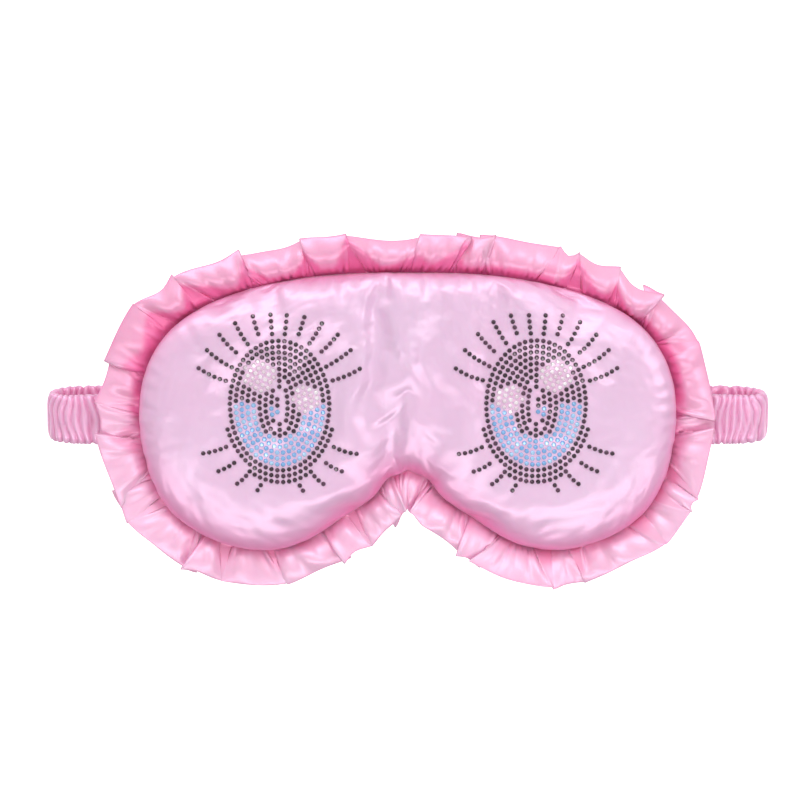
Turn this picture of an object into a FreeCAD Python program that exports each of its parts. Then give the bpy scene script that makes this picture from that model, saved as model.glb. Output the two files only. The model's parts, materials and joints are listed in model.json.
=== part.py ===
"""Padded satin sleep mask with a gathered ruffle, rhinestone eyes and a ruched elastic strap.

Millimetres. +X is the wearer's left, +Y points back through the wearer's head, +Z is up.
The origin is on the flat middle of the lining, where the mask rests on the face, at half the body's
height.
"""

import FreeCAD, Part
import math
import os

V = FreeCAD.Vector

# ---- mask body -------------------------------------------------------------
body_width = 201.0          # seam to seam
body_height = 105.6         # top of the brow to the bottom of the cheeks
notch_depth = 30.5          # from the bottom of the cheeks up to the top of the nose notch
front_depth = 7.4           # how far the front stands out from the seam
back_depth = 4.4            # how far the lining stands out from the seam
front_round = 6.2           # edge radius of the front
back_round = 3.4            # edge radius of the lining side
satin = 0.5                 # a panel with its fused backing
allowance = 6.0             # seam allowance, turned inwards
allowance_thick = 0.4
liner_thick = 0.4           # light-blocking interlining
liner_inset = 7.5           # in from the seam
fill_inset = 7.0            # keeps the wadding clear of the lining's allowance
fill_gap = 0.1              # between the wadding and what encloses it

# ---- ruffle ----------------------------------------------------------------
ruffle_width = 17.0         # seam to the folded outer edge
ruffle_thick = 3.0          # the gathered strip, lying down
ruffle_root = 1.2           # the gathered strip where it is sewn in

# ---- sewing ----------------------------------------------------------------
thread = 0.36               # thread diameter
stitch = 2.2                # length of a seam stitch
stitch_gap = 0.5
seam_inset = 1.6            # seam line, in from the edge
gather_stitch = 3.6         # length of a gathering stitch
gather_gap = 1.0
gather_inset = 4.2          # gathering line, in from the edge
tack_count = 5              # bars in each strap tack
tack_pitch = 0.62
tack_margin = 0.5           # tack to the cut edges of the elastic

# ---- strap -----------------------------------------------------------------
strap_width = 18.0
strap_thick = 4.2           # the ruched tube
strap_wall = 0.5
elastic_width = 12.0
elastic_thick = 1.2
strap_reach = 137.0         # centre line of the mask to the outside of a strap loop
strap_turn = 9.0            # centreline radius of each turn
strap_gap = 0.2             # strap to ruffle, and strap's end to body
strap_drop = 3.5            # middle of the strap, below half the body's height
back_run = 110.0            # middle of the strap, behind the wearer's head
tab_length = 5.5            # elastic sewn in between the ruffle and the lining
slot_gap = 0.1              # round the elastic where it passes through the lining's edge

# ---- rhinestones -----------------------------------------------------------
stone_dia = 1.8
stone_table = 0.9           # the flat top
stone_height = 0.8
stone_sides = 8
stone_pitch = 2.2
stone_gap = 0.2             # least distance between two stones
eye_centre_x = 47.5
eye_centre_z = 4.5
eye_half_width = 18.4       # outermost ring of the iris
eye_half_height = 24.6
pupil_half_width = 9.0
pupil_half_height = 12.5
liner_arc = (200.0, 340.0)  # the first ring under the iris, in degrees
lid_arc = (240.0, 300.0)    # the second one
lid_line = 0.6              # stones above this line are black, for the upper lid's shadow
upper_lashes = 12
upper_fan = 70.0            # degrees each side of straight up
lower_lashes = 4            # each side of the lower lid
lower_fan = (16.0, 58.0)    # degrees from straight down, nearest and furthest
short_lash = 4.6            # straight up or down
lash_growth = 6.6           # how much longer a sideways lash is
lash_curl = 1.8             # how far a lash's tip turns up
# Round highlights: colour, centre, radius; +x is towards the nose.
HIGHLIGHTS = [
    ("clear", -7.5, 11.0, 6.0),
    ("clear", 10.0, 2.0, 5.0),
    ("blue", -2.5, -2.5, 2.6),
]

# ---- how finely curves are followed ----------------------------------------
edge_samples = 44           # points of an offset outline's right half
stitch_samples = 600        # steps along half a row of stitches
ring_samples = 1440         # steps round a ring of stones
lash_samples = 200          # steps along an eyelash
step_slack = 1e-6           # keeps the last stone of a ring from landing on the first

# ---- places that follow from the sizes -------------------------------------
half_width = body_width / 2
half_height = body_height / 2
back_base = -back_depth
front_base = back_base - ruffle_root
front_y = front_base - front_depth
strap_front_y = back_base + strap_gap + strap_thick / 2
strap_rear_y = strap_front_y + 2 * strap_turn
strap_start = half_width + strap_gap
turn_x = strap_reach - strap_thick / 2 - strap_turn
tab_start = half_width - tab_length

# The outline's right half, from the middle of the brow round to the nose notch.
# Each point is a share of the half width and of the half height.
OUTLINE = [
    (0.000, 1.000), (0.280, 0.985), (0.560, 0.895), (0.760, 0.755), (0.905, 0.535),
    (0.983, 0.245), (1.000, -0.075), (0.972, -0.400), (0.895, -0.690), (0.790, -0.860),
    (0.655, -0.970), (0.520, -1.000), (0.375, -0.925),
]
# The notch's flank: a share of the half width and of the notch's depth.
NOTCH_FLANK = [(0.235, 0.42), (0.105, 0.78)]


# ---- outline ---------------------------------------------------------------
def seam_curve():
    """The seam's right half, level at the brow and at the top of the notch."""
    points = [V(x * half_width, 0, z * half_height) for x, z in OUTLINE]
    points += [V(x * half_width, 0, rise * notch_depth - half_height) for x, rise in NOTCH_FLANK]
    points.append(V(0, 0, notch_depth - half_height))
    curve = Part.BSplineCurve()
    curve.interpolate(Points=points, InitialTangent=V(1, 0, 0), FinalTangent=V(-1, 0, 0))
    return curve


SEAM = seam_curve()


def edge_points(offset, count):
    """Points along the right half, pushed out from the seam by offset, and whether the last is level.

    A wide offset crosses the centre line in the notch before it gets to the top, and stops there."""
    first, last = SEAM.FirstParameter, SEAM.LastParameter
    found = []
    for i in range(count + 1):
        t = first + (last - first) * i / count
        on_seam, along = SEAM.value(t), SEAM.tangent(t)[0]
        point = V(on_seam.x - along.z * offset, 0, on_seam.z + along.x * offset)
        if point.x < 0 and i < count:
            before = found[-1]
            share = before.x / (before.x - point.x)
            return found + [V(0, 0, before.z + share * (point.z - before.z))], False
        found.append(point)
    found[0].x = 0
    found[-1].x = 0
    return found, True


def outline(offset):
    """The whole outline, offset from the seam, as a closed wire at Y = 0."""
    curve = SEAM
    if offset:
        points, level = edge_points(offset, edge_samples)
        flags = [True] + [False] * (len(points) - 2) + [level]
        tangents = [V(1, 0, 0)] * (len(points) - 1) + [V(-1, 0, 0)]
        curve = Part.BSplineCurve()
        curve.interpolate(Points=points, Tangents=tangents, TangentFlags=flags)
    right = curve.toShape()
    return Part.Wire(Part.__sortEdges__([right, mirrored(right)]))


def mirrored(shape):
    return shape.mirror(V(0, 0, 0), V(1, 0, 0))


def slab(offset, y0, y1):
    """The outline as a plate from y0 to y1."""
    face = Part.Face(outline(offset))
    face.translate(V(0, y0, 0))
    return face.extrude(V(0, y1 - y0, 0))


def cushion(offset, y0, y1, radius):
    """A plate whose edge at y1 is rounded."""
    plate = slab(offset, y0, y1)
    rim = [edge for edge in plate.Edges if math.isclose(edge.CenterOfMass.y, y1, abs_tol=1e-6)]
    return plate.makeFillet(radius, rim)


def box(x0, x1, y0, y1, z0, z1):
    return Part.makeBox(x1 - x0, y1 - y0, z1 - z0, V(x0, y0, z0))


# ---- the padded body -------------------------------------------------------
def panel(y_base, y_outer, radius, outwards):
    """A dished satin panel with its seam allowance turned in; outwards is -1 or 1 along Y."""
    skin = cushion(0, y_base, y_outer, radius)
    inside = cushion(-satin, y_base + outwards * allowance_thick, y_outer - outwards * satin,
                     radius - satin)
    mouth = slab(-allowance, y_base, y_base + outwards * 2 * allowance_thick)
    return skin.cut(inside.fuse(mouth)).removeSplitter()


def front_panel():
    return panel(front_base, front_y, front_round, -1)


def back_panel():
    shape = panel(back_base, 0.0, back_round, 1)
    slot = elastic_end(slot_gap, half_width + satin)
    return shape.cut(slot).cut(mirrored(slot))


def padding():
    """Wadding that fills the front and reaches back to the interlining."""
    base = front_base - allowance_thick - thread - fill_gap
    front = cushion(-satin - fill_gap, base, front_y + satin + fill_gap,
                    front_round - satin - fill_gap)
    back = slab(-fill_inset, base, -satin - liner_thick - fill_gap)
    return front.fuse(back).removeSplitter()


def blackout_liner():
    return slab(-liner_inset, -satin - liner_thick, -satin)


def ruffle():
    """The frill outside the seam, and its root between the two panels' allowances."""
    y0, y1 = back_base - ruffle_thick, back_base
    frill = slab(ruffle_width, y0, y1).cut(slab(0, y0 - 1, y1 + 1))
    root = slab(0, front_base, y1).cut(slab(-allowance, front_base - 1, y1 + 1))
    return frill.fuse(root).removeSplitter()


# ---- sewing ----------------------------------------------------------------
def stitch_row(inset, length, gap):
    """Stitches round the inside of the front's allowance, each a short straight bar of thread."""
    y = front_base - allowance_thick - thread / 2
    line, _ = edge_points(-inset, stitch_samples)
    walked, start, bars = 0.0, line[0], []
    for a, b in zip(line, line[1:]):
        walked += (b - a).Length
        if walked >= length + gap:
            way = (b - start).normalize()
            foot = (start + b) * 0.5 - way * (length / 2)
            bars.append(Part.makeCylinder(thread / 2, length, V(foot.x, y, foot.z), way))
            walked, start = 0.0, b
    return Part.makeCompound(bars + [mirrored(bar) for bar in bars])


def seam_thread():
    return stitch_row(seam_inset, stitch, stitch_gap)


def gathering_thread():
    return stitch_row(gather_inset, gather_stitch, gather_gap)


def strap_tack():
    """Bars of thread across the sewn end of the elastic."""
    y = strap_front_y + elastic_thick / 2 + thread / 2
    length = elastic_width - 2 * tack_margin
    return Part.makeCompound([
        Part.makeCylinder(thread / 2, length, V(x, y, -strap_drop - length / 2), V(0, 0, 1))
        for x in (tab_start + tack_margin + i * tack_pitch for i in range(tack_count))])


# ---- the strap -------------------------------------------------------------
def straight(x0, x1, y, thick, height):
    """A straight stretch of the strap, thick along Y and centred on y and the strap's level."""
    low = -strap_drop - height / 2
    return box(x0, x1, y - thick / 2, y + thick / 2, low, low + height)


def front_stretch(thick, height):
    return straight(strap_start, turn_x, strap_front_y, thick, height)


def side_stretch(thick, height):
    return straight(back_run / 2, turn_x, strap_rear_y, thick, height)


def back_stretch(thick, height):
    return straight(-back_run / 2, back_run / 2, strap_rear_y, thick, height)


def turn_stretch(thick, height):
    """Half a ring, bulging away from the mask."""
    centre = V(turn_x, strap_front_y + strap_turn, -strap_drop - height / 2)
    outer = Part.makeCylinder(strap_turn + thick / 2, height, centre, V(0, 0, 1), 180)
    inner = Part.makeCylinder(strap_turn - thick / 2, height, centre, V(0, 0, 1), 180)
    ring = outer.cut(inner)
    ring.rotate(centre, V(0, 0, 1), -90)
    return ring


def tube(stretch):
    """A stretch of the satin tube, open at both ends."""
    skin = stretch(strap_thick, strap_width)
    return skin.cut(stretch(strap_thick - 2 * strap_wall, strap_width - 2 * strap_wall))


def elastic(stretch):
    return stretch(elastic_thick, elastic_width)


def elastic_end(grow, outer_x):
    """The elastic's sewn end, grown all round, from inside the seam out to outer_x."""
    return straight(tab_start - grow, outer_x, strap_front_y, elastic_thick + 2 * grow,
                    elastic_width + 2 * grow)


def strap_tab():
    return elastic_end(0, strap_start)


# ---- rhinestone eyes -------------------------------------------------------
def walk(line, pitch):
    """The first point of a fine line, and then a point each time a pitch has gone by."""
    found, walked = [line[0]], 0.0
    for a, b in zip(line, line[1:]):
        walked += math.dist(a, b)
        if walked >= pitch:
            found.append(b)
            walked -= pitch
    return found


def ring_points(grown, low, high):
    """Stone centres along the eye's ellipse, grown by a distance, between two angles in degrees."""
    a, b = max(eye_half_width + grown, 0.0), eye_half_height + grown
    turns = [math.radians(low + (high - low) * i / ring_samples) for i in range(ring_samples + 1)]
    line = [(a * math.cos(t), b * math.sin(t)) for t in turns]
    length = sum(math.dist(p, q) for p, q in zip(line, line[1:]))
    return walk(line, length / max(1, int(length / stone_pitch)) - step_slack)


def lash_points(angle, grown):
    """Stone centres from an eyelash's tip to its root on the eye's grown ellipse."""
    t = math.radians(angle)
    a, b = eye_half_width + grown, eye_half_height + grown
    root = (a * math.cos(t), b * math.sin(t))
    across, up = math.cos(t) / a, math.sin(t) / b
    size = math.hypot(across, up)
    length = short_lash + lash_growth * abs(math.cos(t))
    line = []
    for i in range(lash_samples + 1):
        share = 1 - i / lash_samples
        line.append((root[0] + across / size * length * share,
                     root[1] + up / size * length * share + lash_curl * share ** 2))
    return walk(line, stone_pitch)


def iris_colour(x, z):
    for colour, cx, cz, radius in HIGHLIGHTS:
        if math.hypot(x - cx, z - cz) <= radius:
            return colour
    in_pupil = math.hypot(x / pupil_half_width, z / pupil_half_height) <= 1
    return "black" if in_pupil or z > lid_line else "blue"


def lash_angles():
    """Upper lashes fan out evenly; lower ones leave the middle of the lid bare."""
    upper = [90 - upper_fan + 2 * upper_fan * i / (upper_lashes - 1) for i in range(upper_lashes)]
    near, far = lower_fan
    spread = [near + (far - near) * i / (lower_lashes - 1) for i in range(lower_lashes)]
    return upper, [270 - s for s in spread] + [270 + s for s in spread]


def eye_stones():
    """Colour and place of each stone of one eye, from the eye's centre, with +x towards the nose."""
    placed = []

    def add(points, colour=None):
        for x, z in points:
            if all(math.hypot(x - a, z - b) > stone_dia + stone_gap for _, a, b in placed):
                placed.append((colour or iris_colour(x, z), x, z))

    add(ring_points(0, 90, 450), "black")
    for row in range(1, int(eye_half_width / stone_pitch) + 1):
        add(ring_points(-row * stone_pitch, 90, 450))
    add(ring_points(stone_pitch, *liner_arc), "black")
    add(ring_points(2 * stone_pitch, *lid_arc), "black")
    upper, lower = lash_angles()
    for angle in upper:
        add(lash_points(angle, stone_pitch), "black")
    for angle in lower:
        add(lash_points(angle, 2 * stone_pitch), "black")
    return placed


def one_stone():
    """A flat-back stone with a sloping crown and a flat table, facing -Y."""
    def ring(radius, y):
        turns = [2 * math.pi * (i + 0.5) / stone_sides for i in range(stone_sides)]
        corners = [V(radius * math.cos(t), y, radius * math.sin(t)) for t in turns]
        return Part.makePolygon(corners + corners[:1])
    return Part.makeLoft([ring(stone_dia / 2, 0), ring(stone_table / 2, -stone_height)], True, True)


def stones(colour):
    """The stones of one colour on the wearer's left eye."""
    stone = one_stone()
    return Part.makeCompound([
        stone.translated(V(eye_centre_x - x, front_y, eye_centre_z + z))
        for stone_colour, x, z in eye_stones() if stone_colour == colour])


# ---- every piece, by the name of its file ----------------------------------
def pieces():
    made = {
        "front_panel": front_panel(),
        "back_panel": back_panel(),
        "padding": padding(),
        "blackout_liner": blackout_liner(),
        "ruffle": ruffle(),
        "seam_thread": seam_thread(),
        "gathering_thread": gathering_thread(),
        "strap_cover_back": tube(back_stretch),
        "strap_elastic_back": elastic(back_stretch),
    }
    in_pairs = {"strap_tab": strap_tab(), "strap_tack": strap_tack()}
    for name, stretch in (("front", front_stretch), ("turn", turn_stretch), ("side", side_stretch)):
        in_pairs["strap_cover_" + name] = tube(stretch)
        in_pairs["strap_elastic_" + name] = elastic(stretch)
    for colour in ("black", "blue", "clear"):
        in_pairs[colour + "_stones"] = stones(colour)
    for name, shape in in_pairs.items():
        made[name + "_left"] = shape
        made[name + "_right"] = mirrored(shape)
    return made


def main():
    os.makedirs("parts", exist_ok=True)
    for name, shape in pieces().items():
        if not shape.isValid():
            raise ValueError(f"{name} isn't a valid shape")
        shape.exportStep(f"parts/{name}.step")
        print(f"{name}: {len(shape.Solids)} solids, {shape.Volume:.1f} mm3")


main()
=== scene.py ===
"""Looks of the sleep eye mask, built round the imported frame: satin panels over wadding, a gathered
ruffle, faceted stones and a ruched strap. Sizes are in metres, and MM is one millimetre."""

import json
import math
import random

import bpy
import numpy as np
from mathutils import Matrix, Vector
from mathutils.bvhtree import BVHTree


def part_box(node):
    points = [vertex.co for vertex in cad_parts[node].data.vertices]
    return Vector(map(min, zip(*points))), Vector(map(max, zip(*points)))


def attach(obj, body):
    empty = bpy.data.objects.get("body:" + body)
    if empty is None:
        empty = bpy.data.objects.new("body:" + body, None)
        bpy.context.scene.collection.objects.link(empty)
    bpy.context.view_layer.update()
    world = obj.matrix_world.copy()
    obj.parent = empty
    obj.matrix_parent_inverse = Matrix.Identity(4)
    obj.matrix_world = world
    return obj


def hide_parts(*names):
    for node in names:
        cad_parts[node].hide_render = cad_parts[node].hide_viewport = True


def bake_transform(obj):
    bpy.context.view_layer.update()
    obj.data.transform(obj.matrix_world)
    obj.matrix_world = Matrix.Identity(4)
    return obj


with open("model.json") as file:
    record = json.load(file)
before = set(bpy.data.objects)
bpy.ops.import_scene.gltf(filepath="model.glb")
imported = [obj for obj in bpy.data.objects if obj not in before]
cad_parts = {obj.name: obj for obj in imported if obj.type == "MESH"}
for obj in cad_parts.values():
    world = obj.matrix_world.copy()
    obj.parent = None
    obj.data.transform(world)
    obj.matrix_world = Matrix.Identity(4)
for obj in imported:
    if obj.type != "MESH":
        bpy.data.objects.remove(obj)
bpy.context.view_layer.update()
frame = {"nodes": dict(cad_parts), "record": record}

MM = 0.001
scene = bpy.context.scene
nodes = frame["nodes"]

# ---- places taken from the frame --------------------------------------------
front_low, front_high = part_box("front_panel")
back_low, back_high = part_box("back_panel")
_, ruffle_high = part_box("ruffle")
side_low, side_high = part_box("strap_cover_side_left")
run_low, run_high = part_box("strap_cover_front_left")
elastic_low, elastic_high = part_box("strap_elastic_side_left")

HALF_WIDTH = front_high.x
HALF_HEIGHT = front_high.z
SEAM_Y = (front_high.y + back_low.y) / 2
FRONT_DEPTH = front_high.y - front_low.y
BACK_DEPTH = back_high.y - back_low.y
RUFFLE_WIDTH = ruffle_high.x - HALF_WIDTH

STRAP_THICK = run_high.y - run_low.y
STRAP_Z = (run_low.z + run_high.z) / 2
STRAP_HALF_WIDTH = (run_high.z - run_low.z) / 2
ELASTIC_HALF_WIDTH = (elastic_high.z - elastic_low.z) / 2
STRAP_FRONT_Y = (run_low.y + run_high.y) / 2
STRAP_REAR_Y = (side_low.y + side_high.y) / 2
TURN_RADIUS = (STRAP_REAR_Y - STRAP_FRONT_Y) / 2
TURN_X = run_high.x

# ---- chosen here --------------------------------------------------------------
HUB = Vector((0, 0, 15 * MM))               # a point from which the whole seam can be seen
ALLOWANCE = 6 * MM                          # of each layer, sewn in past the seam
NOTCH_REACH = 16 * MM                       # how far from the middle the top of the notch is drawn down
NOTCH_PULL = 11 * MM                        # 4/27 of this is the most that it is drawn down
FAN_BLUR = 36                               # samples along the seam
OUTSIDE = 0.3                               # farther out than any piece
SATIN_THICKNESS = 0.45 * MM
SIDES = ((1, "left"), (-1, "right"))


# ---- small helpers -------------------------------------------------------------
def smoothstep(x, low, high):
    t = np.clip((np.asarray(x, float) - low) / (high - low), 0, 1)
    return t * t * (3 - 2 * t)


def wrapped_blur(values, width):
    """Values round a closed line, blurred by a bell of that many samples."""
    reach = int(3 * width) + 1
    bell = np.exp(-0.5 * (np.arange(-reach, reach + 1) / width) ** 2)
    padded = np.concatenate([values[-reach:], values, values[:reach]])
    return np.convolve(padded, bell / bell.sum(), "valid")


def mesh_object(name, points, faces):
    mesh = bpy.data.meshes.new(name)
    mesh.from_pydata([tuple(p) for p in points], [], faces)
    mesh.validate()
    mesh.update()
    mesh.shade_smooth()
    obj = bpy.data.objects.new(name, mesh)
    scene.collection.objects.link(obj)
    return obj


def grid_faces(rows, columns, wrap_rows=False, wrap_columns=False):
    """Quads over a grid whose points are stored row by row."""
    faces = []
    for i in range(rows if wrap_rows else rows - 1):
        for j in range(columns if wrap_columns else columns - 1):
            a, b = i * columns + j, i * columns + (j + 1) % columns
            below = ((i + 1) % rows) * columns
            faces.append((a, b, below + (j + 1) % columns, below + j))
    return faces


def set_attribute(obj, name, values):
    attribute = obj.data.attributes.new(name, "FLOAT", "POINT")
    attribute.data.foreach_set("value", np.asarray(values, np.float32))


def tree_of(obj):
    return BVHTree.FromObject(obj, bpy.context.evaluated_depsgraph_get())


def apply_modifiers(obj):
    """Gives obj the mesh that its modifiers make, and leaves none on it."""
    evaluated = obj.evaluated_get(bpy.context.evaluated_depsgraph_get())
    mesh = bpy.data.meshes.new_from_object(evaluated)
    obj.modifiers.clear()
    obj.data = mesh


def coordinates(obj):
    points = np.zeros(len(obj.data.vertices) * 3)
    obj.data.vertices.foreach_get("co", points)
    return points.reshape(-1, 3)


def put_coordinates(obj, points):
    obj.data.vertices.foreach_set("co", np.asarray(points, np.float32).ravel())
    obj.data.update()


# ---- materials -----------------------------------------------------------------
class Shader:
    """A Principled material and short ways to add nodes to it."""

    def __init__(self, name, colour, roughness, **constants):
        self.material = bpy.data.materials.new(name)
        self.material.use_nodes = True
        self.tree = self.material.node_tree
        self.surface = self.tree.nodes["Principled BSDF"]
        self.surface.inputs["Base Color"].default_value = (*colour, 1)
        self.surface.inputs["Roughness"].default_value = roughness
        for socket, value in constants.items():
            self.surface.inputs[socket.replace("_", " ")].default_value = value
        self.place = self.node("ShaderNodeTexCoord").outputs["Object"]

    def node(self, kind, inputs=(), **settings):
        made = self.tree.nodes.new(kind)
        for key, value in settings.items():
            setattr(made, key, value)
        for key, value in dict(inputs).items():
            if isinstance(value, bpy.types.NodeSocket):
                self.tree.links.new(value, made.inputs[key])
            else:
                made.inputs[key].default_value = value
        return made

    def link(self, output, socket):
        self.tree.links.new(output, self.surface.inputs[socket])

    def stretched(self, scale):
        return self.node("ShaderNodeMapping", {"Vector": self.place, "Scale": scale}).outputs[0]

    def noise(self, scale, detail=2.0, stretch=(1, 1, 1)):
        inputs = {"Vector": self.stretched(stretch), "Scale": scale, "Detail": detail}
        return self.node("ShaderNodeTexNoise", inputs).outputs["Fac"]

    def ramp(self, value, low, high, to_low=0.0, to_high=1.0):
        return self.node("ShaderNodeMapRange", {"Value": value, "From Min": low, "From Max": high,
                                                "To Min": to_low, "To Max": to_high}).outputs[0]

    def mix(self, share, a, b):
        made = self.node("ShaderNodeMix", {"Factor": share}, data_type="RGBA")
        for index, value in ((6, a), (7, b)):
            if isinstance(value, bpy.types.NodeSocket):
                self.tree.links.new(value, made.inputs[index])
            else:
                made.inputs[index].default_value = (*value, 1)
        return made.outputs[2]

    def attribute(self, name):
        return self.node("ShaderNodeAttribute", attribute_name=name).outputs["Fac"]

    def bumps(self, *layers):
        """Height layers on the surface, each a socket, its depth in metres and its strength."""
        normal = None
        for height, depth, strength in layers:
            inputs = {"Height": height, "Distance": depth, "Strength": strength}
            if normal is not None:
                inputs["Normal"] = normal
            normal = self.node("ShaderNodeBump", inputs).outputs[0]
        self.link(normal, "Normal")


def satin(name, colour, deep, roughness=0.3):
    """Polyester satin: floats of fine thread, a soft sheen, a deeper tone that varies at random, and
    painted shade that darkens the colour towards the deep tone.
    """
    shader = Shader(name, colour, roughness, Metallic=0.2, Specular_IOR_Level=0.75,
                    Sheen_Weight=0.2, Sheen_Roughness=0.4, Subsurface_Weight=0.25,
                    Subsurface_Scale=2.5 * MM, Subsurface_Radius=(1.0, 0.32, 0.5))
    cloudy = shader.ramp(shader.noise(28, 3), 0.35, 0.65, 0.0, 0.10)
    toned = shader.mix(cloudy, colour, deep)
    # Painted shade: the mesh's attribute darkens the colour towards the deep tone, mostly in creases and
    # near seams.
    shaded_colour = shader.mix(shader.attribute("painted_shade"), toned, deep)
    shader.link(shaded_colour, "Base Color")
    floats = shader.noise(1, 2, (260, 260, 5200))
    shader.link(shader.ramp(floats, 0.3, 0.7, roughness - 0.04, roughness + 0.07), "Roughness")
    weave = shader.node("ShaderNodeTexWave", {"Vector": shader.place, "Scale": 950,
                                              "Distortion": 0.6}, bands_direction="DIAGONAL")
    crumple = shader.noise(230, 4)
    shader.bumps((weave.outputs["Fac"], 0.02 * MM, 0.08), (floats, 0.02 * MM, 0.03),
                 (crumple, 0.2 * MM, 0.12))
    return shader.material


def plain_cloth(name, colour, scale, roughness=0.85):
    """Matt fibres, for the wadding, interlining, elastic and thread inside."""
    shader = Shader(name, colour, roughness)
    shade = tuple(c * 0.78 for c in colour)
    shader.link(shader.mix(shader.noise(scale, 4), shade, colour), "Base Color")
    shader.bumps((shader.noise(scale * 1.7, 5), 0.2 * MM, 0.5))
    return shader.material


def woven_elastic(name, colour):
    shader = Shader(name, colour, 0.7)
    ribs = shader.node("ShaderNodeTexWave", {"Vector": shader.place, "Scale": 160,
                                             "Distortion": 0.3}, bands_direction="Z")
    shader.link(shader.mix(ribs.outputs["Fac"], tuple(c * 0.8 for c in colour), colour), "Base Color")
    shader.bumps((ribs.outputs["Fac"], 0.15 * MM, 0.6))
    return shader.material


def stone_finish(name, colour, other, roughness):
    """Foil-backed faceted stone: each stone's tint differs a little."""
    shader = Shader(name, colour, roughness, Metallic=0.25, Specular_IOR_Level=0.9, Coat_Weight=0.6,
                    Coat_Roughness=0.05)
    shader.link(shader.mix(shader.attribute("tint"), colour, other), "Base Color")
    return shader.material


# Each satin's second colour is its deep tone: up to a tenth of it varies at random, and the rest is
# painted shade.
MATERIALS = {
    "satin_front": satin("satin_front", (0.85, 0.55, 0.76), (0.84, 0.24, 0.48), 0.33),
    "satin_lining": satin("satin_lining", (0.84, 0.42, 0.62), (0.74, 0.22, 0.42), 0.34),
    "satin_ruffle": satin("satin_ruffle", (0.89, 0.53, 0.72), (0.82, 0.15, 0.37), 0.34),
    "satin_strap": satin("satin_strap", (0.90, 0.50, 0.72), (0.74, 0.14, 0.36), 0.32),
    "wadding": plain_cloth("wadding", (0.85, 0.85, 0.83), 160),
    "interlining": plain_cloth("interlining", (0.03, 0.03, 0.035), 420),
    "elastic": woven_elastic("elastic", (0.80, 0.79, 0.76)),
    "thread": plain_cloth("thread", (0.75, 0.22, 0.45), 900, 0.5),
    "stone_black": stone_finish("stone_black", (0.030, 0.012, 0.022), (0.10, 0.035, 0.075), 0.16),
    "stone_blue": stone_finish("stone_blue", (0.22, 0.46, 0.78), (0.48, 0.74, 0.94), 0.16),
    "stone_clear": stone_finish("stone_clear", (0.80, 0.66, 0.74), (0.95, 0.90, 0.93), 0.12),
}
NODE_SLOTS = {s["node"]: s["material_slot"] for s in frame["record"]["subparts"]}


def dress(obj, slot):
    obj.data.materials.clear()
    obj.data.materials.append(MATERIALS[slot])
    return obj


def dress_frame():
    """The pieces inside, which stay as the frame has them, get their materials."""
    for name, node in nodes.items():
        node.data.materials.clear()
        node.data.materials.append(MATERIALS[NODE_SLOTS[name]])


# ---- the seam ------------------------------------------------------------------
class Seam:
    """The body's outline, seen from the front, clockwise from the middle of the brow."""

    def __init__(self, count=1440):
        tree = tree_of(nodes["front_panel"])
        wall_y = front_high.y - 0.5 * MM
        turns = np.linspace(math.pi / 2, -1.5 * math.pi, count, endpoint=False)
        points = []
        for turn in turns:
            way = Vector((math.cos(turn), 0, math.sin(turn)))
            start = Vector((0, wall_y, HUB.z)) + way * OUTSIDE
            points.append(tree.ray_cast(start, -way)[0])
        x = wrapped_blur(np.array([p.x for p in points]), 3)
        z = wrapped_blur(np.array([p.z for p in points]), 3)
        # The cloth pulls into a point at the top of the notch, which the part keeps round.
        across = np.minimum(np.abs(x) / NOTCH_REACH, 1)
        z = z - np.where(z < HUB.z, NOTCH_PULL * across * (1 - across) ** 2, 0)
        self.radius = np.hypot(x, z - HUB.z)
        steps = np.hypot(np.diff(x, append=x[0]), np.diff(z, append=z[0]))
        self.length = steps.sum()
        self.place = np.concatenate([[0], np.cumsum(steps)[:-1]])
        self.x, self.z = x, z
        along_x = np.roll(x, -1) - np.roll(x, 1)
        along_z = np.roll(z, -1) - np.roll(z, 1)
        size = np.hypot(along_x, along_z)
        self.out_x = wrapped_blur(-along_z / size, 2)
        self.out_z = wrapped_blur(along_x / size, 2)
        # The frill's rays turn more slowly, so they don't cross below the notch.
        self.fan_x = wrapped_blur(self.out_x, FAN_BLUR)
        self.fan_z = wrapped_blur(self.out_z, FAN_BLUR)

    def at(self, place, *columns):
        """Values of the named columns at distances along the seam."""
        where = np.mod(place, self.length)
        grid = np.concatenate([self.place, [self.length]])
        return [np.interp(where, grid, np.append(getattr(self, c), getattr(self, c)[0]))
                for c in columns]

    def radius_at(self, turn):
        """Distance from the hub to the seam in a direction."""
        start = math.pi / 2
        share = np.mod(start - turn, 2 * math.pi) / (2 * math.pi) * len(self.radius)
        return np.interp(share, np.arange(len(self.radius) + 1), np.append(self.radius, self.radius[0]))

    def nearest(self, x, z):
        """Distance to the seam, and the place along it, for many points."""
        distance, place = np.empty(len(x)), np.empty(len(x))
        for i in range(0, len(x), 512):
            gap = np.hypot(x[i:i + 512, None] - self.x, z[i:i + 512, None] - self.z)
            best = gap.argmin(1)
            distance[i:i + 512] = gap.min(1)
            place[i:i + 512] = self.place[best]
        return distance, place


seam = Seam()


# ---- padded body ---------------------------------------------------------------
GRID_U, GRID_V = 109, 61
CLOTH_SCALE = 10                            # the solver is steady at this many times the size
CLOTH_FRAMES = 26
CLOTH_PRESSURE = 1.2
MOST_MOVED = 5.5 * MM                       # by the cloth's own wrinkles


def body_grid():
    """A grid of quads that fills the seam's outline, as x and z."""
    u, v = np.meshgrid(np.linspace(-1, 1, GRID_U), np.linspace(-1, 1, GRID_V))
    across = u * np.sqrt(1 - v * v / 2)
    up = v * np.sqrt(1 - u * u / 2)
    share = np.hypot(across, up)
    turn = np.arctan2(up * HALF_HEIGHT, across * HALF_WIDTH)
    radius = share * seam.radius_at(turn)
    return (radius * np.cos(turn)).ravel(), (HUB.z + radius * np.sin(turn)).ravel()


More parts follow.
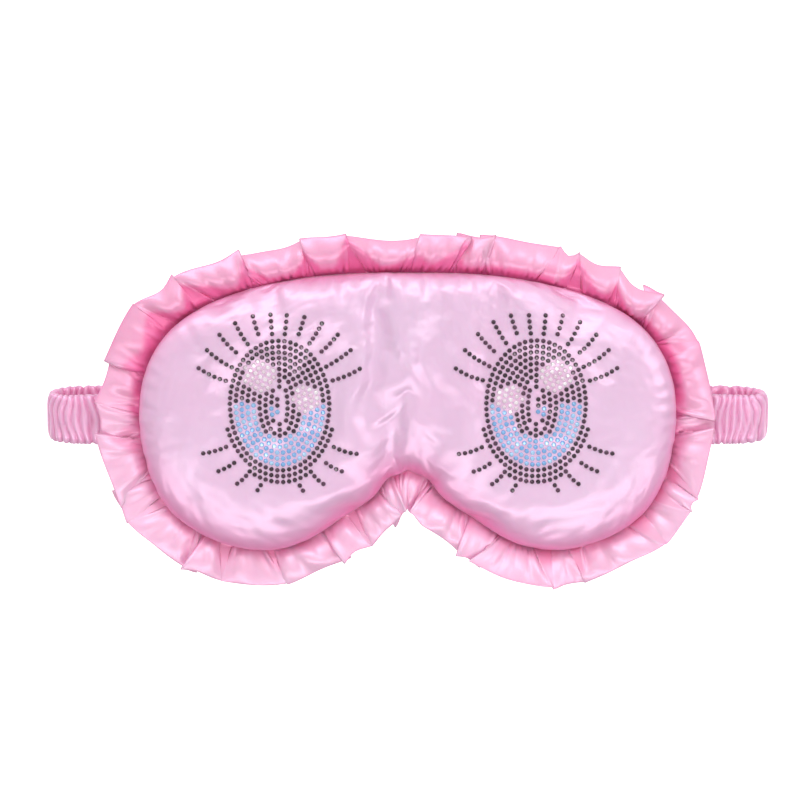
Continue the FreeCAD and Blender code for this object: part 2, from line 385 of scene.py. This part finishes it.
def ripple(place, spacing, seed):
    """An uneven wave along the seam, from -1 to 1, with about that spacing."""
    turns = place / seam.length * 2 * math.pi
    count = round(seam.length / spacing)
    rng = random.Random(seed)
    drift = sum(rng.uniform(0.2, 0.9) * np.sin(k * turns + rng.uniform(0, 6.3)) for k in (2, 3, 5, 9, 14))
    swell = 0.55 + 0.45 * np.sin(7 * turns + rng.uniform(0, 6.3)) * np.sin(11 * turns + 1.3)
    return np.sin(count * turns + 1.8 * drift) * swell


def dent(x, z, cx, cz, along, reach, width):
    """A long soft hollow: 1 on its line and 0 away from it. along is its direction in degrees."""
    c, s = math.cos(math.radians(along)), math.sin(math.radians(along))
    p = (x - cx * MM) * c + (z - cz * MM) * s
    q = (z - cz * MM) * c - (x - cx * MM) * s
    return np.exp(-(p / (reach * MM)) ** 2 - (q / (width * MM)) ** 2)


# Hollows where the wadding gives: centre x and z, direction, reach, width and depth, in mm and degrees.
# A negative depth is a rise.
HOLLOWS = [
    (-11, 40, 84, 15, 4.2, 1.7),
    (-3, 33, 100, 17, 8.0, -0.9),
    (9, -13, 62, 16, 5.0, 1.2),
    (-8, -14, 118, 13, 5.0, 0.9),
    (-26, -36, 74, 9, 4.0, 0.9),
    (30, -38, 105, 9, 4.2, 0.8),
    (-78, -33, 40, 11, 6.0, 0.8),
    (84, 24, 130, 12, 6.0, 0.7),
    (62, 42, 70, 8, 4.0, 0.6),
    (-52, 46, 105, 8, 4.0, 0.6),
]


def crown(distance, round_off, depth, rise):
    """How far a pad stands up at a distance in from the seam: a rounded edge, then a slow crown."""
    edge = np.clip(distance / round_off, 0, 1)
    return depth * np.sqrt(1 - (1 - edge) ** 2) + rise * smoothstep(distance, 2 * MM, 46 * MM)


def simulate_cloth(obj, held, growth):
    """Lets the panel's cloth, cut larger than its seam, find its own wrinkles under the wadding's push."""
    put_coordinates(obj, coordinates(obj) * CLOTH_SCALE)
    group = obj.vertex_groups.new(name="held")
    for index, weight in enumerate(held):
        group.add([index], float(weight), "REPLACE")
    cloth = obj.modifiers.new("cloth", "CLOTH")
    settings = cloth.settings
    settings.quality = 7
    settings.mass = 0.25
    settings.tension_stiffness = settings.compression_stiffness = 22
    settings.shear_stiffness = 6
    settings.bending_stiffness = 14
    settings.tension_damping = settings.compression_damping = 12
    settings.bending_damping = 3
    settings.vertex_group_mass = "held"
    settings.pin_stiffness = 1.4
    settings.shrink_min = -growth
    settings.use_pressure = True
    settings.uniform_pressure_force = CLOTH_PRESSURE
    settings.effector_weights.gravity = 0
    cloth.collision_settings.use_collision = False
    cloth.collision_settings.use_self_collision = False
    cloth.point_cache.frame_start, cloth.point_cache.frame_end = 1, CLOTH_FRAMES
    for step in range(1, CLOTH_FRAMES + 1):
        scene.frame_set(step)
    apply_modifiers(obj)
    scene.frame_set(1)
    obj.vertex_groups.clear()
    put_coordinates(obj, coordinates(obj) / CLOTH_SCALE)


def panel(name, outwards, base_y, depth, round_off, rise, growth, pucker, seed):
    """One satin panel as a sheet. outwards is -1 for the front, and 1 for the lining.

    Growth is the share by which the cloth is cut too large, and pucker the height of the tucks that
    the seam's gathering leaves."""
    x, z = body_grid()
    distance, place = seam.nearest(x, z)
    height = crown(distance, round_off, depth, rise)
    tucks = np.exp(-distance / (6 * MM)) * smoothstep(distance, 0.2 * MM, 3.0 * MM)
    waves = ripple(place, 6.5 * MM, seed) + 0.5 * ripple(place, 3.4 * MM, seed + 1)
    height = height + tucks * pucker * waves
    if outwards < 0:
        for cx, cz, along, reach, width, deep in HOLLOWS:
            height = height - deep * MM * dent(x, z, cx, cz, along, reach, width)
    y = base_y + outwards * height
    faces = grid_faces(GRID_V, GRID_U)
    if outwards > 0:
        faces = [face[::-1] for face in faces]
    obj = mesh_object(name, np.column_stack([x, y, z]), faces)
    rim = distance < 0.4 * MM
    start = coordinates(obj)
    held = np.where(rim, 1.0, 0.02 + 0.25 * smoothstep(distance, 16 * MM, 34 * MM))
    simulate_cloth(obj, held, growth)
    moved = coordinates(obj) - start
    length = np.linalg.norm(moved, axis=1)
    moved *= (np.minimum(length, MOST_MOVED) / np.maximum(length, 1e-9))[:, None]
    put_coordinates(obj, start + moved)
    # Painted shade: darker close to the seam all round, and over a wider band where the seam faces down.
    lowness = smoothstep(-seam.at(place, "out_z")[0], -0.2, 0.7)
    painted_seam_shade = 0.6 * np.exp(-distance / (4 * MM)) + 0.7 * lowness * np.exp(-(distance / (9 * MM)) ** 2)
    set_attribute(obj, "painted_shade", np.minimum(painted_seam_shade, 1))
    return obj


def thicken(obj):
    """Subdivides a sheet once and gives it the satin's thickness, inwards."""
    smooth = obj.modifiers.new("smooth", "SUBSURF")
    smooth.levels = smooth.render_levels = 1
    solid = obj.modifiers.new("solid", "SOLIDIFY")
    solid.thickness = SATIN_THICKNESS
    solid.offset = -1
    apply_modifiers(obj)


def wadding(front, back):
    """The filling: a closed pad just inside the two panels."""
    a, b = coordinates(front), coordinates(back)
    count = len(a)
    distance, place = seam.nearest(a[:, 0], a[:, 2])
    out_x, out_z = seam.at(place, "out_x", "out_z")
    inset = 1.6 * MM
    inwards = (ALLOWANCE + 0.5 * MM) * (1 - smoothstep(distance, 0, 12 * MM))
    middle = (a[:, 1] + b[:, 1]) / 2
    for side in (a, b):
        side[:, 0] -= out_x * inwards
        side[:, 2] -= out_z * inwards
    a[:, 1] = np.minimum(a[:, 1] + inset, middle)
    b[:, 1] = np.maximum(b[:, 1] - inset, middle)
    faces = grid_faces(GRID_V, GRID_U)
    faces += [tuple(count + i for i in reversed(face)) for face in faces]
    rim = ([j for j in range(GRID_U)] + [i * GRID_U + GRID_U - 1 for i in range(1, GRID_V)]
           + [(GRID_V - 1) * GRID_U + j for j in reversed(range(GRID_U - 1))]
           + [i * GRID_U for i in reversed(range(1, GRID_V - 1))])
    for p, q in zip(rim, rim[1:] + rim[:1]):
        faces.append((q, p, count + p, count + q))
    return mesh_object("padding_pad", np.vstack([a, b]), faces)


def cut_size(obj):
    """Width and height of the cloth that a panel takes, and its area, with the allowance round it."""
    grid = coordinates(obj).reshape(GRID_V, GRID_U, 3)
    middle = grid[GRID_V // 2]
    over_crown = np.linalg.norm(np.diff(middle, axis=0), axis=1).sum() - np.ptp(middle[:, 0])
    spans = np.ptp(grid, axis=(0, 1)) + over_crown + 2 * ALLOWANCE
    area = sum(face.area for face in obj.data.polygons) + seam.length * ALLOWANCE
    return (round(float(spans[0]), 3), round(float(spans[2]), 3)), round(float(area), 4)


def make_body():
    front = panel("front_satin", -1, front_high.y, FRONT_DEPTH, round_off=9 * MM, rise=2.6 * MM,
                  growth=0.04, pucker=0.9 * MM, seed=11)
    back = panel("lining_satin", 1, back_low.y, BACK_DEPTH, round_off=5 * MM, rise=0.9 * MM,
                 growth=0.02, pucker=0.4 * MM, seed=23)
    points = coordinates(back)
    distance, _ = seam.nearest(points[:, 0], points[:, 2])
    inner = distance > 6 * MM
    points[inner, 1] = np.maximum(points[inner, 1], back_high.y - 0.25 * MM)
    points[:, 1] = np.minimum(points[:, 1], back_high.y + 2 * MM)
    put_coordinates(back, points)
    pad = wadding(front, back)
    front_cut, back_cut = cut_size(front), cut_size(back)
    for obj in (front, back):
        thicken(obj)
    for obj, node, slot in ((front, "front_panel", "satin_front"), (back, "back_panel", "satin_lining"),
                            (pad, "padding", "wadding")):
        dress(obj, slot)
        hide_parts(node)
        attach(obj, "mask")
    return front


# ---- ruffle --------------------------------------------------------------------
PLEATS = 35
STRIP_STEP = 1.1 * MM                         # between samples along the strip


def pleat_corners():
    """The two corners of each pleat, in the order in which the strip goes through them.

    Each is the place at the seam, the place at the outer edge, and how far it stands forward there.
    A knife pleat turns back on itself, so at the edge its second corner lies behind its first. A ridge
    or a valley starts wide at the seam and runs to a point."""
    rng = random.Random(29)
    gaps = np.array([rng.uniform(0.35, 1.7) for _ in range(PLEATS)])
    gaps *= seam.length / gaps.sum()
    corners = []
    for place, before, after in zip(np.cumsum(gaps), gaps, np.roll(gaps, -1)):
        room = min(before, after)
        kind = rng.random()
        if kind < 0.45:
            tuck, overlap = rng.uniform(0.4, 1.6) * MM, rng.uniform(0.8, 3.2) * MM
            heights = [rng.uniform(1.2, 3.6) * MM, -rng.uniform(0.8, 2.8) * MM]
            rng.shuffle(heights)
        else:
            tuck, overlap = rng.uniform(1.2, 3.8) * MM, rng.uniform(-0.5, 0.3) * MM
            heights = [(rng.uniform(2.4, 4.8) if kind < 0.8 else -rng.uniform(1.2, 3.0)) * MM] * 2
        tuck = min(tuck, 0.28 * room)
        end = place + max(-0.36 * room, min(0.36 * room, rng.uniform(-5.5, 5.5) * MM))
        corners.append((place - tuck, end + overlap, heights[0]))
        corners.append((place + tuck, end - overlap, heights[1]))
    return np.array(corners), rng


def strip_columns():
    """The strip's columns: places at the seam and edge, height, puff, facet, hollow and 1 on a return.

    Facet, from 0 to 1, says how far out the crest lies, and also how far out the painted shade reaches. It
    is far out at a pleat and falls off to both sides, so each pleat shows as a triangle. Hollow is how far
    the edge falls back."""
    corners, rng = pleat_corners()
    facets = [rng.uniform(0.45, 0.95) if rng.random() < 0.7 else 0.15 for _ in range(PLEATS)]
    ahead = np.roll(corners, -1, axis=0)
    ahead[-1, :2] += seam.length
    columns = []
    for i, (a, b) in enumerate(zip(corners, ahead)):
        on_face = i % 2
        length = max(math.hypot(b[1] - a[1], b[2] - a[2]), abs(b[0] - a[0]))
        count = max(5, round(length / STRIP_STEP))
        share = (1 - np.cos(math.pi * np.arange(count) / count)) / 2
        swell = np.sin(math.pi * share ** rng.uniform(0.7, 1.4))
        puff = rng.uniform(-0.8, 2.6) * MM * on_face * swell
        hollow = rng.uniform(0.2, 1.7) * MM * on_face * swell * min(1.0, length / (14 * MM))
        here, there = facets[i // 2], facets[(i // 2 + on_face) % PLEATS]
        facet = np.maximum(here * (1 - on_face * share / rng.uniform(0.3, 0.85)),
                           there * (1 - on_face * (1 - share) / rng.uniform(0.3, 0.85)))
        facet = np.maximum(facet, rng.uniform(0.05, 0.25))
        rows = a + (b - a) * share[:, None]
        columns.append(np.column_stack([rows, puff, facet, hollow, np.full(count, 1.0 - on_face)]))
    return np.vstack(columns).T


def ruffle_surface():
    """The ruffle's middle surface, as rows of points from inside the seam to the edge."""
    start, end, height, puff, facet, hollow, hidden = strip_columns()
    side_x, side_z, up = seam.at(start, "x", "z", "fan_z")
    leftness = smoothstep(-side_x, 50 * MM, 95 * MM)
    upper = smoothstep(up, -0.45, 0.5)
    arch = (1.0 + 2.0 * upper) * (1 - 0.6 * leftness) * MM + 0.8 * MM * ripple(end, 40 * MM, 3)
    lean = (5.8 - 4.8 * upper) * (1 - 0.3 * leftness) * MM
    strip = np.concatenate([[0], np.cumsum(np.hypot(np.diff(end), np.diff(height)))])
    turns = strip / (strip[-1] + STRIP_STEP) * 2 * math.pi
    gather = 0.9 * MM * np.sin(260 * turns + 2 * np.sin(9 * turns)) + 0.5 * MM * np.sin(163 * turns)
    wrinkle = (0.55 * np.sin(97 * turns + 3 * np.sin(6 * turns)) + 0.45 * np.sin(58 * turns + 1)) * MM
    # The strip keeps its width, so the further it arches or leans, the less far it reaches.
    spent = (0.8 * (math.pi * (arch + puff) / 2) ** 2 + 0.3 * (end - start) ** 2
             + 0.5 * (height + lean) ** 2)
    reach = RUFFLE_WIDTH - 1.1 * (1 - leftness) * MM - spent / RUFFLE_WIDTH - hollow
    reach = np.maximum(reach + 1.9 * MM * smoothstep(height, 0.8 * MM, 4.2 * MM), 0.62 * RUFFLE_WIDTH)
    near_strap = np.abs(side_z - STRAP_Z) < STRAP_HALF_WIDTH + 4 * MM
    near_strap &= np.abs(side_x) > 0.8 * HALF_WIDTH
    peak = 0.3 + 0.45 * facet
    rows, shares = [], []
    for share in (-1.0, -0.5):
        x, z, out_x, out_z = seam.at(start, "x", "z", "out_x", "out_z")
        inside = share * ALLOWANCE
        rows.append(np.column_stack([x + out_x * inside, np.full_like(start, SEAM_Y), z + out_z * inside]))
        shares.append(share)
    for r in np.concatenate([np.linspace(0, 0.94, 17), [0.975, 0.993, 1.0]]):
        out = r ** 0.9
        place = start * (1 - out) + end * out
        x, z, fan_x, fan_z = seam.at(place, "x", "z", "fan_x", "fan_z")
        swell = np.where(r < peak, np.sin(math.pi / 2 * r / peak),
                         np.cos(math.pi / 2 * (r - peak) / (1 - peak)))
        forward = (height + lean) * out ** 1.15 + (arch + puff + wrinkle) * swell
        forward = forward + gather * (1 - r) ** 2 * float(smoothstep(r, 0.0, 0.10))
        y = SEAM_Y - forward
        y = np.where(near_strap, np.minimum(y, run_low.y - 1.2 * MM), y)
        far = reach * out
        rows.append(np.column_stack([x + fan_x * far, y, z + fan_z * far]))
        shares.append(r)
    shares = np.array(shares)
    # Painted shade: deeper pink in a zone near the seam under each pleat, in dabs at the seam, on the
    # returns, in a thin line along the outer fold, and more over the upper ruffle.
    r = np.maximum(shares[:, None], 0)
    deep = smoothstep(facet * (0.7 + 0.3 * upper) - r, -0.10, 0.08)
    band = smoothstep(0.3 + 0.2 * upper - r, -0.2, 0.3)
    seam_shade_dabs = np.exp(-r / (0.07 + 0.05 * np.sin(40 * turns) ** 2))
    painted_shade = (0.24 + 0.26 * upper) * deep + 0.14 * upper * band + (0.42 + 0.1 * upper) * seam_shade_dabs
    painted_shade = painted_shade + 0.22 * hidden * (1 - 0.5 * r) + 0.02 + 0.28 * upper + 0.25 * smoothstep(r, 0.93, 0.985)
    return np.array(rows), shares, np.minimum(painted_shade, 1)


def surface_normals(rows):
    along = np.roll(rows, -1, axis=1) - np.roll(rows, 1, axis=1)
    out = np.gradient(rows, axis=0)
    normal = np.cross(along, out)
    return normal / np.maximum(np.linalg.norm(normal, axis=2, keepdims=True), 1e-12)


def make_ruffle():
    """The strip, folded in two along its outer edge and gathered into the seam."""
    rows, shares, painted_shade = ruffle_surface()
    normal = surface_normals(rows)
    if normal[3, 0, 1] > 0:
        normal = -normal
    r = np.clip(shares, 0, 1)[:, None, None]
    roll = np.sqrt(np.clip(1 - (np.maximum(r - 0.94, 0) / 0.06) ** 2, 0, 1))
    apart = (0.26 + 0.30 * np.sin(math.pi * r)) * MM * roll
    front, rear = rows + normal * apart, rows - normal * apart
    sheet = np.concatenate([front, rear[-2::-1]])
    columns = sheet.shape[1]
    faces = grid_faces(len(sheet), columns, wrap_columns=True)
    obj = mesh_object("ruffle_satin", sheet.reshape(-1, 3), faces)
    set_attribute(obj, "painted_shade", np.concatenate([painted_shade, painted_shade[-2::-1]]).ravel())
    dress(obj, "satin_ruffle")
    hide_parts("ruffle")
    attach(obj, "mask")


# ---- strap ---------------------------------------------------------------------
ROOT = 4.5 * MM                               # the strap's end, in past the seam
FLAT = 11 * MM                                # over this length it flattens into the seam
SEWN_SHIFT = 1.7 * MM                         # how far forward its sewn end lies
TACK_TURNS, TACK_PITCH = 13, 0.22 * MM
STRAIGHT = TURN_X - HALF_WIDTH
TURN = math.pi * TURN_RADIUS
APEX = STRAIGHT + TURN / 2
HALF_LOOP = STRAIGHT + TURN + TURN_X          # from the left seam to the middle of the back


def strap_line(t):
    """Point and outward direction, in plan, at distances t from the left seam to the middle."""
    x = HALF_WIDTH + t
    y = np.full_like(t, STRAP_FRONT_Y)
    out_x, out_y = np.zeros_like(t), -np.ones_like(t)
    turn = np.clip((t - STRAIGHT) / TURN_RADIUS, 0, math.pi)
    on_turn = t > STRAIGHT
    x = np.where(on_turn, TURN_X + TURN_RADIUS * np.sin(turn), x)
    y = np.where(on_turn, STRAP_FRONT_Y + TURN_RADIUS * (1 - np.cos(turn)), y)
    out_x = np.where(on_turn, np.sin(turn), out_x)
    out_y = np.where(on_turn, -np.cos(turn), out_y)
    x = np.where(t > STRAIGHT + TURN, TURN_X - (t - STRAIGHT - TURN), x)
    sewn = 1 - smoothstep(t, 0, FLAT)
    y = y - SEWN_SHIFT * sewn
    return x, y, out_x, out_y, sewn


def ruching(t, level, side):
    """Puffs of the gathered tube between narrow creases, from 0 in a crease to 1 on a puff."""
    spacing = 3.2 * MM
    seed = 3.7 if side > 0 else 9.1
    wobble = (0.50 * np.sin(t / (9.3 * MM) + seed) + 0.34 * np.sin(t / (4.1 * MM) + 2 * seed)
              + 0.30 * np.sin(level * 2.1 + t / (6.7 * MM)) + 0.22 * np.sin(level * 4.3 - t / (3.3 * MM)))
    phase = (t - APEX) / spacing + (wobble - wobble_at_joins(t, wobble)) * 0.9
    return np.abs(np.sin(math.pi * phase)) ** 0.8


def wobble_at_joins(t, wobble):
    """Takes the wobble away where two pieces of the strap meet, so that they meet in a crease."""
    gap = np.minimum(np.abs(t - APEX), np.abs(t - HALF_LOOP))
    return wobble * (1 - smoothstep(gap, 0, 3.5 * MM))


def tube_rings(t, half_width, half_thick, puff, edge_puff, side, around):
    """Rings of points round the strap's line, mirrored for the right side."""
    x, y, out_x, out_y, sewn = strap_line(t)
    turns = np.linspace(0, 2 * math.pi, around, endpoint=False)
    c, s = np.cos(turns), np.sin(turns)
    level = np.sign(s) * np.abs(s) ** 0.55
    face = np.sign(c) * np.abs(c) ** 0.75
    grid_t = t[:, None] + 0 * level[None]
    ridge = ruching(grid_t, level[None] + 0 * grid_t + 0.7 * (c[None] < 0), side)
    thick = half_thick * (1 - 0.55 * sewn[:, None]) + puff * (ridge - 0.6) * (1 - 0.3 * sewn[:, None])
    width = half_width + edge_puff * (ridge - 0.5) + 0.25 * edge_puff * np.sin(grid_t / (7.7 * MM))
    offset = thick * face[None]
    px = x[:, None] + out_x[:, None] * offset
    py = y[:, None] + out_y[:, None] * offset
    pz = STRAP_Z + width * level[None]
    return np.stack([side * px, py, pz], axis=2), ridge


def strap_piece(name, t0, t1, side, slot, half_width, half_thick, puff, edge_puff, wall, step, around):
    """A length of tube or, with no wall, of solid band.

    t0 and t1 are its ends on the strap's line, step the gap between rings, and around their points."""
    t = np.linspace(t0, t1, max(8, round((t1 - t0) / step)))
    outer, ridge = tube_rings(t, half_width, half_thick, puff, edge_puff, side, around)
    rings, columns = outer.shape[:2]
    points = [outer.reshape(-1, 3)]
    faces = grid_faces(rings, columns, wrap_columns=True)
    shade = [1 - ridge.ravel()]
    if wall:
        inner, _ = tube_rings(t, half_width - wall, half_thick - wall - 0.6 * puff, 0, 0, side, around)
        points.append(inner.reshape(-1, 3))
        shade.append(np.ones(rings * columns))
        base = rings * columns
        faces += [tuple(base + i for i in reversed(face)) for face in faces]
        for row in (0, rings - 1):
            for j in range(columns):
                a, b = row * columns + j, row * columns + (j + 1) % columns
                rim = (a, base + a, base + b, b)
                faces.append(rim if row == 0 else rim[::-1])
    else:
        faces.append(tuple(reversed(range(columns))))
        faces.append(tuple((rings - 1) * columns + j for j in range(columns)))
    if side > 0:
        faces = [face[::-1] for face in faces]
    obj = mesh_object(name, np.vstack(points), faces)
    # Painted shade: darker in the creases of the ruching, all over the inner wall, and on the side that
    # faces the wearer.
    shade = 0.7 * np.concatenate(shade) ** 1.2
    inward = smoothstep(-np.cos(2 * math.pi * np.arange(len(shade)) / columns), 0, 0.5)
    set_attribute(obj, "painted_shade", np.minimum(shade + 0.25 * inward, 1))
    return dress(obj, slot)


def make_strap():
    """Each side is a front length, from inside the seam to the middle of its turn, and a rear one on to
    the middle of the back.
    """
    for side, word in SIDES:
        for part, t0, t1 in (("front", -ROOT, APEX), ("rear", APEX, HALF_LOOP)):
            cover = strap_piece(f"strap_{part}_satin_{word}", t0, t1, side, "satin_strap",
                                STRAP_HALF_WIDTH, STRAP_THICK / 2 - 0.1 * MM, puff=1.2 * MM,
                                edge_puff=1.0 * MM, wall=0.3 * MM, step=0.36 * MM, around=40)
            band = strap_piece(f"strap_{part}_elastic_{word}", t0, t1, side, "elastic",
                               ELASTIC_HALF_WIDTH, 0.55 * MM, puff=0.05 * MM,
                               edge_puff=0, wall=0, step=0.8 * MM, around=20)
            for obj, kind in ((cover, "cover"), (band, "elastic")):
                if part == "front":
                    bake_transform(obj)
                    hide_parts(f"strap_{kind}_front_{word}")
                else:
                    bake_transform(obj)
                    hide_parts(f"strap_{kind}_turn_{word}", f"strap_{kind}_side_{word}",
                                f"strap_{kind}_back")
            if part == "front":
                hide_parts(f"strap_tab_{word}")


def make_tacks():
    """Zigzag bar tacks through the elastic's sewn ends, inside the lining."""
    for side, word in SIDES:
        path, half = [], ELASTIC_HALF_WIDTH - 1 * MM
        x0 = HALF_WIDTH - ROOT + 0.5 * MM
        y = STRAP_FRONT_Y - SEWN_SHIFT + 0.7 * MM
        for i in range(TACK_TURNS):
            path.append((side * (x0 + i * TACK_PITCH), y, STRAP_Z + (half if i % 2 else -half)))
        curve = bpy.data.curves.new(f"tack_{word}", "CURVE")
        curve.dimensions = "3D"
        curve.bevel_depth = 0.18 * MM
        spline = curve.splines.new("POLY")
        spline.points.add(len(path) - 1)
        for point, place in zip(spline.points, path):
            point.co = (*place, 1)
        obj = bpy.data.objects.new(f"tack_thread_{word}", curve)
        scene.collection.objects.link(obj)
        curve.materials.append(MATERIALS["thread"])
        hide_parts(f"strap_tack_{word}")
        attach(obj, "mask")


# ---- stones --------------------------------------------------------------------
STONE_SIDES = 10
STONE_RADIUS, STONE_HEIGHT = 0.88 * MM, 0.8 * MM
STONE_TILT = 0.05                           # the most along x and z, as a slope
IN_FRONT = -0.2                             # nearer than any piece, in y


def islands(obj):
    """Centre of each separate solid of a mesh, seen from the front."""
    mesh = obj.data
    parent = list(range(len(mesh.vertices)))

    def root(i):
        while parent[i] != i:
            parent[i] = parent[parent[i]]
            i = parent[i]
        return i

    same_place = {}
    for vertex in mesh.vertices:
        key = tuple(round(c, 6) for c in vertex.co)
        parent[vertex.index] = same_place.setdefault(key, vertex.index)
    for a, b in mesh.edge_keys:
        parent[root(a)] = root(b)
    groups = {}
    for vertex in mesh.vertices:
        groups.setdefault(root(vertex.index), []).append(vertex.co)
    centres = [sum(group, Vector()) / len(group) for group in groups.values()]
    return sorted((round(c.x, 6), round(c.z, 6)) for c in centres)


def stone_shape(radius, height):
    """A round flat-back stone: girdle, two rows of facets and a table, up along +Z."""
    def ring(r, h, shift):
        turns = [2 * math.pi * (i + shift) / STONE_SIDES for i in range(STONE_SIDES)]
        return [(r * math.cos(t), r * math.sin(t), h) for t in turns]

    n = STONE_SIDES
    points = (ring(radius, -0.15 * height, 0) + ring(radius, 0.22 * height, 0)
              + ring(0.80 * radius, 0.66 * height, 0.5) + ring(0.50 * radius, height, 0))
    faces = [tuple(reversed(range(n))), tuple(range(3 * n, 4 * n))]
    for i in range(n):
        j, k = (i + 1) % n, (i - 1) % n
        faces.append((i, j, n + j, n + i))
        faces.append((n + i, n + j, 2 * n + i))
        faces.append((n + i, 2 * n + i, 2 * n + k))
        faces.append((2 * n + i, 3 * n + j, 3 * n + i))
        faces.append((2 * n + k, 2 * n + i, 3 * n + i))
    return points, faces


def make_stones(front):
    """A cut stone on the satin at the place of each of the frame's stones."""
    tree = tree_of(front)
    rng = random.Random(99)
    for side in ("left", "right"):
        for colour in ("black", "blue", "clear"):
            node = f"{colour}_stones_{side}"
            points, faces, tints = [], [], []
            for x, z in islands(nodes[node]):
                place, normal, _, _ = tree.ray_cast(Vector((x, IN_FRONT, z)), Vector((0, 1, 0)))
                if normal.y > 0:
                    normal = -normal
                tilt = Vector((rng.uniform(-1, 1), 0, rng.uniform(-1, 1))) * STONE_TILT
                turn = (normal + tilt).to_track_quat("Z", "Y").to_matrix()
                spin = rng.uniform(0, 2 * math.pi)
                shape, sides = stone_shape(STONE_RADIUS, STONE_HEIGHT)
                base = len(points)
                for px, py, pz in shape:
                    spun = Vector((px * math.cos(spin) - py * math.sin(spin),
                                   px * math.sin(spin) + py * math.cos(spin), pz))
                    points.append(place + turn @ spun)
                faces += [tuple(base + i for i in face) for face in sides]
                tints += [rng.random() ** 2] * len(shape)
            obj = mesh_object(f"{colour}_gems_{side}", points, faces)
            obj.data.shade_flat()
            set_attribute(obj, "tint", tints)
            dress(obj, f"stone_{colour}")
            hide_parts(node)
            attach(obj, "mask")


# ---- studio --------------------------------------------------------------------
def area_light(name, place, width, height, power):
    """A rectangular lamp that faces the mask."""
    light = bpy.data.lights.new(name, "AREA")
    light.shape = "RECTANGLE"
    light.size, light.size_y = width, height
    light.energy = power
    obj = bpy.data.objects.new(name, light)
    obj.location = place
    obj.rotation_euler = (-Vector(place)).to_track_quat("-Z", "Y").to_euler()
    scene.collection.objects.link(obj)


def make_floor():
    """A wide pale floor, well below the mask and behind it."""
    reach, near, drop = 6.0, 0.3, -0.42
    floor = mesh_object("floor", [(-reach, near, drop), (reach, near, drop), (reach, reach, drop),
                                  (-reach, reach, drop)], [(0, 1, 2, 3)])
    shader = Shader("pale_floor", (0.9, 0.9, 0.9), 0.9)
    shader.surface.inputs["Emission Color"].default_value = (1, 1, 1, 1)
    shader.surface.inputs["Emission Strength"].default_value = 0.75
    floor.data.materials.append(shader.material)


def make_world():
    """A white room, seen white, that lights the mask mostly from above."""
    world = bpy.data.worlds.new("studio")
    world.use_nodes = True
    scene.world = world
    tree = world.node_tree
    sky = tree.nodes["Background"]
    sky.inputs["Strength"].default_value = 1.0
    place = tree.nodes.new("ShaderNodeTexCoord")
    split = tree.nodes.new("ShaderNodeSeparateXYZ")
    tree.links.new(place.outputs["Generated"], split.inputs[0])
    upwards = tree.nodes.new("ShaderNodeMapRange")
    upwards.interpolation_type = "SMOOTHSTEP"
    for socket, value in (("From Min", -0.35), ("From Max", 0.75), ("To Min", 0.42), ("To Max", 0.90)):
        upwards.inputs[socket].default_value = value
    tree.links.new(split.outputs["Z"], upwards.inputs["Value"])
    rays = tree.nodes.new("ShaderNodeLightPath")
    level = tree.nodes.new("ShaderNodeMix")
    level.inputs["B"].default_value = 1.15
    tree.links.new(rays.outputs["Is Camera Ray"], level.inputs["Factor"])
    tree.links.new(upwards.outputs[0], level.inputs["A"])
    tree.links.new(level.outputs[0], sky.inputs["Color"])


def make_camera():
    """In front of the mask and a little above it, with a long lens."""
    elevation, distance = math.radians(11), 0.80
    lens, view_width = 85, 0.300              # mm, and metres at the mask
    target = Vector((-2.9 * MM, SEAM_Y, 4.5 * MM))
    camera = bpy.data.cameras.new("camera")
    camera.lens = lens
    camera.sensor_width = lens * view_width / distance
    obj = bpy.data.objects.new("camera", camera)
    back = Vector((0, -math.cos(elevation), math.sin(elevation)))
    obj.location = target + back * distance
    obj.rotation_euler = (-back).to_track_quat("-Z", "Y").to_euler()
    scene.collection.objects.link(obj)
    scene.camera = obj


def make_studio():
    scene.view_settings.view_transform = "Standard"
    make_world()
    make_floor()
    area_light("key", (-0.25, -0.55, 0.80), width=1.3, height=0.35, power=4.1)
    area_light("fill", (0.75, -0.75, 0.30), width=0.5, height=0.6, power=2.2)
    area_light("low", (0.05, -0.75, -0.45), width=1.3, height=0.22, power=3.1)


def main():
    make_camera()
    make_studio()
    dress_frame()
    front = make_body()
    make_stones(front)
    make_ruffle()
    make_strap()
    make_tacks()


main()
